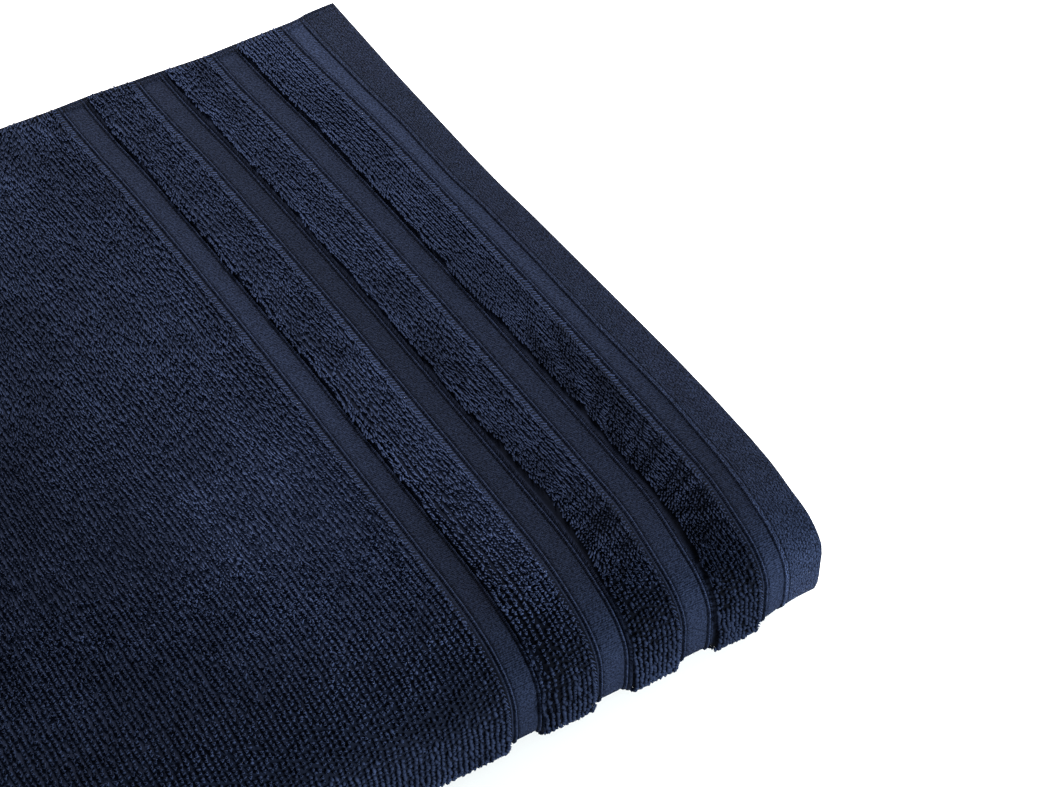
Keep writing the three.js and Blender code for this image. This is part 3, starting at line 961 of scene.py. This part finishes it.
def make_tube(name, line):
    """A tube one unit high and wide, along points given as x, y, height and share of the width."""
    line = np.array(line, float)
    path, shares = line[:, :3], line[:, 3]
    ways = unit(np.gradient(path, axis=0))
    across = unit(np.cross(ways, (0, 1, 0)))
    other = np.cross(ways, across)
    angles = 2 * np.pi * np.arange(TUBE_SIDES) / TUBE_SIDES + np.pi / 2
    ring = across[:, None] * np.cos(angles)[:, None] + other[:, None] * np.sin(angles)[:, None]
    points = path[:, None] + ring * (TUBE_RADIUS * shares)[:, None, None]
    here = np.arange(len(line) * TUBE_SIDES).reshape(-1, TUBE_SIDES)
    after = np.roll(here, -1, 1)
    faces = quads(here[:-1], after[:-1], after[1:], here[1:])
    mesh = bpy.data.meshes.new(name)
    mesh.from_pydata(points.reshape(-1, 3).tolist(), [], faces.tolist())
    mesh.polygons.foreach_set("use_smooth", np.ones(len(faces), bool))
    store(mesh, "rise", np.repeat(path[:, 2], TUBE_SIDES))
    mesh.update()
    return new_object(name, mesh)


# Node trees
class Tree:
    """Adds nodes to a node tree: one call takes a node's type, its settings and its inputs."""

    def __init__(self, tree):
        self.tree = tree

    def add(self, kind, settings=None, **inputs):
        """An input is named by its socket's name, or by an underscore and its number."""
        node = self.tree.nodes.new(kind)
        for name, value in (settings or {}).items():
            setattr(node, name, value)
        for name, value in inputs.items():
            key = int(name[1:]) if name[1:].isdigit() else name.replace("_", " ")
            self.feed(node.inputs[key], value)
        return node

    def feed(self, socket, value):
        """Links a socket to a wire, a node or another socket, or gives it a value."""
        if isinstance(value, Wire):
            value = value.socket
        if isinstance(value, bpy.types.Node):
            value = value.outputs[0]
        if isinstance(value, bpy.types.NodeSocket):
            self.tree.links.new(value, socket)
        else:
            socket.default_value = value


class Wire:
    """A value inside a node tree. Sums and products of wires add Math nodes."""

    def __init__(self, tree, socket):
        self.tree, self.socket = tree, socket

    def math(self, operation, *values):
        inputs = {"_%d" % number: value for number, value in enumerate(values)}
        node = self.tree.add("ShaderNodeMath", {"operation": operation}, **inputs)
        return Wire(self.tree, node.outputs[0])

    def __add__(self, other):
        return self.math("ADD", self, other)

    def __sub__(self, other):
        return self.math("SUBTRACT", self, other)

    def __rsub__(self, other):
        return self.math("SUBTRACT", other, self)

    def __mul__(self, other):
        return self.math("MULTIPLY", self, other)

    __radd__ = __add__
    __rmul__ = __mul__

    def wave(self, pitch):
        """From 0 to 1 and back once in every pitch."""
        turn = self * (2 * math.pi / pitch)
        return self.math("SINE", turn) * 0.5 + 0.5


LOOP_INPUTS = {
    "Geometry": "NodeSocketGeometry",
    "Loop": "NodeSocketObject",
    "Yarn": "NodeSocketMaterial",
    "Thickness": "NodeSocketFloat",
    "Twist": "NodeSocketFloat",
    "Seed": "NodeSocketInt",
}


def stored(t, name, kind):
    """What a bed stores on its points under a name."""
    return t.add("GeometryNodeInputNamedAttribute", {"data_type": kind}, Name=name).outputs[0]


def loop_maker():
    """The node tree that sets a loop on every point of a bed, and its inputs' identifiers."""
    tree = bpy.data.node_groups.new("loops on a bed", "GeometryNodeTree")
    tree.interface.new_socket("Geometry", in_out="OUTPUT", socket_type="NodeSocketGeometry")
    sockets = {}
    for name, kind in LOOP_INPUTS.items():
        sockets[name] = tree.interface.new_socket(name, in_out="INPUT", socket_type=kind).identifier
    t = Tree(tree)
    given = t.add("NodeGroupInput").outputs
    stem = stored(t, "stem", "FLOAT_VECTOR")
    standing = t.add(
        "FunctionNodeAxesToRotation",
        {"primary_axis": "Z", "secondary_axis": "X"},
        Primary_Axis=stem,
        Secondary_Axis=stored(t, "side", "FLOAT_VECTOR"),
    )
    most = Wire(t, given["Twist"])
    twist = t.add(
        "FunctionNodeRandomValue", {"data_type": "FLOAT"}, _2=most * -1.0, _3=most, Seed=given["Seed"]
    )
    turned = t.add("FunctionNodeAxisAngleToRotation", Axis=(0, 0, 1), Angle=twist.outputs[1])
    rotation = t.add("FunctionNodeRotateRotation", {"rotation_space": "LOCAL"}, _0=standing, _1=turned)
    length = t.add("ShaderNodeVectorMath", {"operation": "LENGTH"}, _0=stem).outputs["Value"]
    size = t.add("ShaderNodeCombineXYZ", X=stored(t, "width", "FLOAT"), Y=given["Thickness"], Z=length)
    loop = t.add("GeometryNodeObjectInfo", Object=given["Loop"])
    placed = t.add(
        "GeometryNodeInstanceOnPoints",
        Points=given["Geometry"],
        Instance=loop.outputs["Geometry"],
        Rotation=rotation,
        Scale=size,
    )
    real = t.add("GeometryNodeRealizeInstances", Geometry=placed)
    yarn = t.add("GeometryNodeSetMaterial", Geometry=real, Material=given["Yarn"])
    t.add("NodeGroupOutput", Geometry=yarn)
    return tree, sockets


class Pile:
    """Grows loops on beds of points, each bed into one mesh."""

    def __init__(self, yarn):
        self.tree, self.sockets = loop_maker()
        self.yarn = yarn
        self.shapes = {"bud": make_tube("bud", BUD), "strand": make_tube("strand", STRAND)}

    def grow(self, name, bed, shape, thickness, twist, seed):
        piece = new_object(name, bed)
        modifier = piece.modifiers.new("loops", "NODES")
        modifier.node_group = self.tree
        values = {
            "Loop": self.shapes[shape],
            "Yarn": self.yarn,
            "Thickness": thickness * MM,
            "Twist": twist,
            "Seed": seed,
        }
        for key, value in values.items():
            modifier[self.sockets[key]] = value
        seen = piece.evaluated_get(bpy.context.evaluated_depsgraph_get())
        made = bpy.data.meshes.new_from_object(seen)
        piece.modifiers.remove(modifier)
        piece.data = made
        for attribute in ("stem", "side", "width"):
            if attribute in made.attributes:
                made.attributes.remove(made.attributes[attribute])
        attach(piece, "root")

    def finish(self):
        """Removes the two shapes once every loop has been made."""
        for tube in self.shapes.values():
            bpy.data.objects.remove(tube)


# Materials. Each goes from a dark to a light share of the same navy.
NAVY = (0.325, 0.47, 1.0)
# The yarn goes from painted shade at a loop's foot to its lit tip
YARN_SHADED_AND_LIT_TONES = (0.036, 0.047)
GROUND_TONES = (0.021, 0.029)
BAND_TONES = (0.009, 0.029)
HEM_TONES = (0.004, 0.030)
YARN_ROUGHNESS = 0.85
WEAVE_ROUGHNESS = 0.8
SPECULAR_LEVEL = 0.015
YARN_LIT_FROM = 0.6
NOISE_DETAIL = 2.0

# Sizes and contrasts of the flecks, of the ribs and dashes of the weave, and of its soft patches
GROUND_FLECK = 0.8
GROUND_FLECK_CONTRAST = 3
# Painted shade on the ground between the upright loops, over distances from the side
GROUND_SHADED_OVER = (280, 335)
GROUND_SHADED_TO = 0.3
FLECK = 0.85
BAND_FLECK_CONTRAST = 3.6
BAND_RIB_CONTRAST = 0.5
BAND_PATCH = 5.0
BAND_PATCH_CONTRAST = 0.5
BAND_BUMP = {"Strength": 0.8, "Distance": 0.3 * MM}
HEM_DASH = {"Brick_Width": 1.5, "Row_Height": 0.86, "Mortar_Size": 0.16, "Mortar_Smooth": 1.0}
HEM_DASH_STRAY = 2.2
HEM_DASH_STRAY_SIZE = 1.3
HEM_FLECK_STRETCH = (0.7, 1.6)
HEM_FLECK_CONTRAST = 3.8
HEM_GAP_CONTRAST = -0.9
HEM_PATCH = 6.0
HEM_PATCH_CONTRAST = 0.9
HEM_BUMP = {"Strength": 0.9, "Distance": 0.35 * MM}


def new_material(name, roughness):
    material = bpy.data.materials.new(name)
    material.use_nodes = True
    shader = material.node_tree.nodes["Principled BSDF"]
    shader.inputs["Roughness"].default_value = roughness
    shader.inputs["Specular IOR Level"].default_value = SPECULAR_LEVEL
    return material, Tree(material.node_tree), shader


def mix_navy(t, share, tones):
    """A navy between a dark and a light tone."""
    mixed = t.add("ShaderNodeMix", {"data_type": "RGBA"}, Factor=share)
    for socket, tone in zip((mixed.inputs[6], mixed.inputs[7]), tones):
        socket.default_value = (*(tone * part for part in NAVY), 1)
    return mixed.outputs[2]


def scaled(t, vector, factor):
    return t.add("ShaderNodeVectorMath", {"operation": "SCALE"}, _0=vector, Scale=factor).outputs[0]


def noise(t, place, size):
    """Noise about 0, with bumps of the given size in millimetres."""
    made = t.add("ShaderNodeTexNoise", Vector=place, Scale=1 / size, Detail=NOISE_DETAIL)
    return Wire(t, made.outputs["Fac"]) - 0.5


def weave_place(t):
    """Distances in millimetres from the end hem and from the side hem, as one vector and as two wires."""
    metres = t.add("ShaderNodeUVMap", {"uv_map": "weave"}).outputs[0]
    place = scaled(t, metres, 1 / MM)
    parts = t.add("ShaderNodeSeparateXYZ", Vector=place).outputs
    return place, Wire(t, parts["X"]), Wire(t, parts["Y"])


def set_colour(t, shader, colour):
    """Gives the shader a colour, made lighter or darker by the shade that the piece stores: painted light
    and shade, with a random difference from loop to loop on the pile.
    """
    shade = t.add("ShaderNodeAttribute", {"attribute_name": "shade"}).outputs["Fac"]
    t.feed(shader.inputs["Base Color"], scaled(t, colour, shade))


def yarn_material():
    """The yarn of the loops, with painted shade down at their feet."""
    material, t, shader = new_material("pile yarn", YARN_ROUGHNESS)
    rise = t.add("ShaderNodeAttribute", {"attribute_name": "rise"}).outputs["Fac"]
    smoothly = {"interpolation_type": "SMOOTHSTEP"}
    share = t.add("ShaderNodeMapRange", smoothly, Value=rise, From_Max=YARN_LIT_FROM)
    set_colour(t, shader, mix_navy(t, share, YARN_SHADED_AND_LIT_TONES))
    return material


def ground_material():
    """The ground between the loops, with painted shade where they stand up."""
    material, t, shader = new_material("terry ground", WEAVE_ROUGHNESS)
    place, _, from_side = weave_place(t)
    colour = mix_navy(t, noise(t, place, GROUND_FLECK) * GROUND_FLECK_CONTRAST + 0.5, GROUND_TONES)
    start, end = GROUND_SHADED_OVER
    fade = t.add(
        "ShaderNodeMapRange",
        Value=from_side, From_Min=start, From_Max=end, To_Min=1.0, To_Max=GROUND_SHADED_TO,
    )
    set_colour(t, shader, scaled(t, colour, fade))
    return material


def band_material():
    """The flat weave: flecks, fine ribs across the band, and soft patches."""
    material, t, shader = new_material("flat weave", WEAVE_ROUGHNESS)
    place, _, from_side = weave_place(t)
    ribs = from_side.wave(COLUMN_PITCH / 2) - 0.5
    grain = noise(t, place, FLECK) * BAND_FLECK_CONTRAST + ribs * BAND_RIB_CONTRAST + 0.5
    patches = noise(t, place, BAND_PATCH) * BAND_PATCH_CONTRAST + 1.0
    set_colour(t, shader, scaled(t, mix_navy(t, grain, BAND_TONES), patches))
    t.feed(shader.inputs["Normal"], t.add("ShaderNodeBump", Height=grain, **BAND_BUMP))
    return material


def hem_material():
    """The hem's weave: short dashes along the hem, each row set on by half a dash, and patches."""
    material, t, shader = new_material("hem weave", WEAVE_ROUGHNESS)
    place, from_end, from_side = weave_place(t)
    stray = noise(t, place, HEM_DASH_STRAY_SIZE) * HEM_DASH_STRAY
    laid = t.add("ShaderNodeCombineXYZ", X=from_side + stray, Y=from_end + stray)
    dashes = t.add("ShaderNodeTexBrick", {"offset": 0.5}, Vector=laid, Scale=1.0, **HEM_DASH)
    along, across = HEM_FLECK_STRETCH
    along_hem = t.add("ShaderNodeCombineXYZ", X=from_side * along, Y=from_end * across)
    grain = noise(t, along_hem, FLECK) * HEM_FLECK_CONTRAST
    grain = grain + Wire(t, dashes.outputs["Fac"]) * HEM_GAP_CONTRAST + 0.8
    patches = noise(t, place, HEM_PATCH) * HEM_PATCH_CONTRAST + 1.0
    set_colour(t, shader, scaled(t, mix_navy(t, grain, HEM_TONES), patches))
    t.feed(shader.inputs["Normal"], t.add("ShaderNodeBump", Height=grain, **HEM_BUMP))
    return material


# The camera stands where the photograph was taken from. Its place is measured from the right near
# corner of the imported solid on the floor, and its angles are in degrees.
CAMERA_FROM_CORNER = (-345.06, -411.4, 640.98)
CAMERA_AZIMUTH = -119.538
CAMERA_ELEVATION = 45.199
CAMERA_ROLL = -1.614
FRAME_WIDTH_PX = 1054
FOCAL_LENGTH_PX = 2455.1
SENSOR_MM = 36.0

# Lights stand round the cloth, at angles in degrees, and a distance in metres. Power is in watts.
LIGHTS = {
    "key": {"azimuth": 75, "elevation": 34, "power": 75, "colour": (1.0, 0.96, 0.93)},
    "right": {"azimuth": 40, "elevation": 14, "power": 22, "colour": (1.0, 1.0, 1.0)},
    "front": {"azimuth": -62, "elevation": 14, "power": 78, "colour": (0.95, 1.0, 1.0)},
}
LIGHT_DISTANCE = 1.6
LIGHT_SIZE = 0.6
LIT_POINT = (0, 0, 0.02)
SKY_STRENGTH = 0.3
FLOOR_HALF_WIDTH = 12.0
FLOOR_COLOUR = (0.86, 0.86, 0.86)
FLOOR_ROUGHNESS = 0.9


def make_camera():
    data = bpy.data.cameras.new("camera")
    data.sensor_width = SENSOR_MM
    data.lens = FOCAL_LENGTH_PX / FRAME_WIDTH_PX * SENSOR_MM
    data.clip_start, data.clip_end = 0.01, 20
    camera = new_object("camera", data)
    turn = Matrix.Rotation(math.radians(CAMERA_AZIMUTH + 90), 4, "Z")
    turn = turn @ Matrix.Rotation(math.radians(90 - CAMERA_ELEVATION), 4, "X")
    turn = turn @ Matrix.Rotation(math.radians(CAMERA_ROLL), 4, "Z")
    corner = Vector((cad_box[1].x, cad_box[0].y, 0))
    camera.matrix_world = Matrix.Translation(corner + Vector(CAMERA_FROM_CORNER) * MM) @ turn
    bpy.context.scene.camera = camera


def make_light(name, azimuth, elevation, power, colour):
    """A square lamp that faces the cloth from a given direction."""
    data = bpy.data.lights.new(name, "AREA")
    data.shape, data.size = "SQUARE", LIGHT_SIZE
    data.energy, data.color = power, colour
    light = new_object(name, data)
    a, e = math.radians(azimuth), math.radians(elevation)
    away = Vector((math.cos(a) * math.cos(e), math.sin(a) * math.cos(e), math.sin(e)))
    light.location = Vector(LIT_POINT) + away * LIGHT_DISTANCE
    light.rotation_mode = "QUATERNION"
    light.rotation_quaternion = away.to_track_quat("Z", "Y")


def make_studio():
    """A pale floor, an even sky and the lamps."""
    half = FLOOR_HALF_WIDTH
    corners = np.array([(-half, -half, 0), (half, -half, 0), (half, half, 0), (-half, half, 0)])
    material, _, shader = new_material("pale floor", FLOOR_ROUGHNESS)
    shader.inputs["Base Color"].default_value = (*FLOOR_COLOUR, 1)
    floor = add_piece("floor", corners, np.array([[0, 1, 2, 3]]), [material])
    world = bpy.data.worlds.new("studio")
    world.use_nodes = True
    sky = world.node_tree.nodes["Background"]
    sky.inputs["Color"].default_value = (1, 1, 1, 1)
    sky.inputs["Strength"].default_value = SKY_STRENGTH
    bpy.context.scene.world = world
    for name, light in LIGHTS.items():
        make_light(name, **light)
    bpy.context.scene.view_settings.view_transform = "Standard"


# The pieces of the pile
def grow_strands(pile, area, name, rows, seed):
    """Combed strands on top of the stack, two to each loop of the weave."""
    ends, sides = grid(rows, (STRANDS_START, UPRIGHT[area][1]), COLUMN_PITCH)
    ends, sides = split_loops(area, ends, sides, False, seed)
    lean, swirl = lay_of_pile(area, ends, sides)
    tone = tone_and_painted_light_of_pile(area, ends, sides)
    loose = from_table(LOOSE[area], sides)
    ends, swing = shape_edge(area, ends, sides)
    bed = bed_of_loops(
        outer_layer,
        np.concatenate([ends - STRANDS_APART / 2, ends + STRANDS_APART / 2]),
        np.concatenate([sides, sides + COLUMN_PITCH / 2]),
        np.tile(lean + SWING_LEAN * swing, 2),
        np.tile(swirl - swing, 2),
        STRAND_WIDTH[area],
        seed + 1,
        rise=STRAND_RISE[area],
        loose=np.tile(loose, 2),
        tone=np.tile(tone, 2),
    )
    pile.grow(name, bed, "strand", STRAND_WIDTH[area], STRAND_TWIST, seed)


def grow_upright(pile, area, name, rows, seed):
    """Upright loops round the near fold."""
    ends, sides = grid(rows, (UPRIGHT[area][0] - UPRIGHT_LEAD, NEAR_LOOPS_END), COLUMN_PITCH)
    ends, sides = split_loops(area, ends, sides, True, seed)
    lean = UPRIGHT_LEAN - UPRIGHT_LIFT * upright_share(area, ends, sides)
    swirl = UPRIGHT_STRAY * soft_noise(ends, sides, *TURN_NOISE)
    tone = tone_and_painted_light_of_pile(area, ends, sides)
    ends = shape_edge(area, ends, sides)[0]
    bed = bed_of_loops(
        outer_layer, ends, sides, lean, swirl, BUD_WIDTH, seed + 1,
        rise=UPRIGHT_RISE, loose=UPRIGHT_LOOSE, tone=tone,
    )
    pile.grow(name, bed, "bud", BUD_THICKNESS, UPRIGHT_TWIST, seed + 2)


def field_rows():
    return np.arange(FIELD_START, PANEL, ROW_PITCH)


def stripe_rows():
    """The rows of each stripe, by its name."""
    rows = {}
    for name, band in zip(STRIPE_EDGE, BANDS[2::-1]):
        first, last = band["outer_cord"] + CORD_TO_STRIPE, STRIPE_EDGE[name][0][1]
        rows[name] = np.linspace(first, last, 1 + round((last - first) / STRIPE_ROW_PITCH))
    return rows


def make_field(pile):
    """The field in two parts, because one mesh would be too large."""
    for number, rows in enumerate(np.array_split(field_rows(), 2), 1):
        seed = SEEDS["field"] + 10 * number
        grow_strands(pile, "field", "field_loops_%d" % number, rows, seed)
        grow_upright(pile, "field", "near_loops_%d" % number, rows, seed + 2)


def make_stripes(pile):
    for number, (name, rows) in enumerate(stripe_rows().items(), 1):
        seed = SEEDS["stripes"] + 10 * number
        grow_strands(pile, name, "stripe_loops_%d" % number, rows, seed)
        grow_upright(pile, name, "stripe_fold_loops_%d" % number, rows, seed + 2)


def make_cord_rows(pile):
    """A row of short slanted strands on the bank beside each band's outer cord."""
    for number, band in enumerate(BANDS, 1):
        ends, sides = grid([band["outer_cord"] + CORD_TO_ROW], CORD_ROW_SIDES, COLUMN_PITCH)
        lost = smooth(sides, *CORD_ROW_LOSS_OVER)
        here = {key: CORD_ROW[key] - CORD_ROW_LOSS[key] * lost for key in CORD_ROW}
        turn = np.full(len(ends), CORD_ROW_TURN)
        seed = SEEDS["cord rows"] + number
        bed = bed_of_loops(
            outer_layer, ends, sides, here["lean"], turn, CORD_ROW_WIDTH, seed,
            rise=here["rise"], loose=CORD_ROW_LOOSE, tone=here["tone"],
        )
        pile.grow("cord_row_%d" % number, bed, "strand", CORD_ROW_WIDTH, STRAND_TWIST, seed + 10)


def make_sides(pile):
    """Upright loops on the folds at the left, on those between the hems, and on the far roll."""
    outer_turn = math.pi * (OUTER_FOLD_RADIUS + PILE_TOP)
    inner_turn = math.pi * (INNER_FOLD_RADIUS + PILE_TOP)
    left_rows = PANEL + np.arange(ROW_PITCH / 2, LEFT_FOLD_SHARE * outer_turn, ROW_PITCH)
    inner_rows = np.arange(*(share * inner_turn for share in INNER_FOLD_SHARES), ROW_PITCH)
    far_rows = np.concatenate([field_rows(), *stripe_rows().values()])
    beds = {
        "left_fold_loops": (outer_layer, left_rows, LEFT_FOLD_SIDES),
        "inner_fold_loops": (inner_fold, inner_rows, INNER_FOLD_SIDES),
        "far_roll_loops": (outer_layer, far_rows, FAR_ROLL_SIDES),
    }
    for number, (name, (point_of, rows, side_range)) in enumerate(beds.items(), 1):
        ends, sides = grid(rows, side_range, COLUMN_PITCH)
        lean = np.full(len(ends), SIDE_LEAN)
        swirl = UPRIGHT_STRAY * soft_noise(ends, sides, *TURN_NOISE)
        seed = SEEDS["sides"] + number
        bed = bed_of_loops(
            point_of, ends, sides, lean, swirl, BUD_WIDTH, seed, rise=SIDE_RISE, loose=SIDE_LOOSE, tone=1.0
        )
        pile.grow(name, bed, "bud", BUD_THICKNESS, SIDE_TWIST, seed + 10)


def main():
    yarn = yarn_material()
    cloth = make_cloth([ground_material(), band_material(), hem_material()])
    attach(cloth, "root")
    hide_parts("bath_sheet")
    pile = Pile(yarn)
    make_field(pile)
    make_stripes(pile)
    make_cord_rows(pile)
    make_sides(pile)
    pile.finish()
    make_camera()
    make_studio()


main()
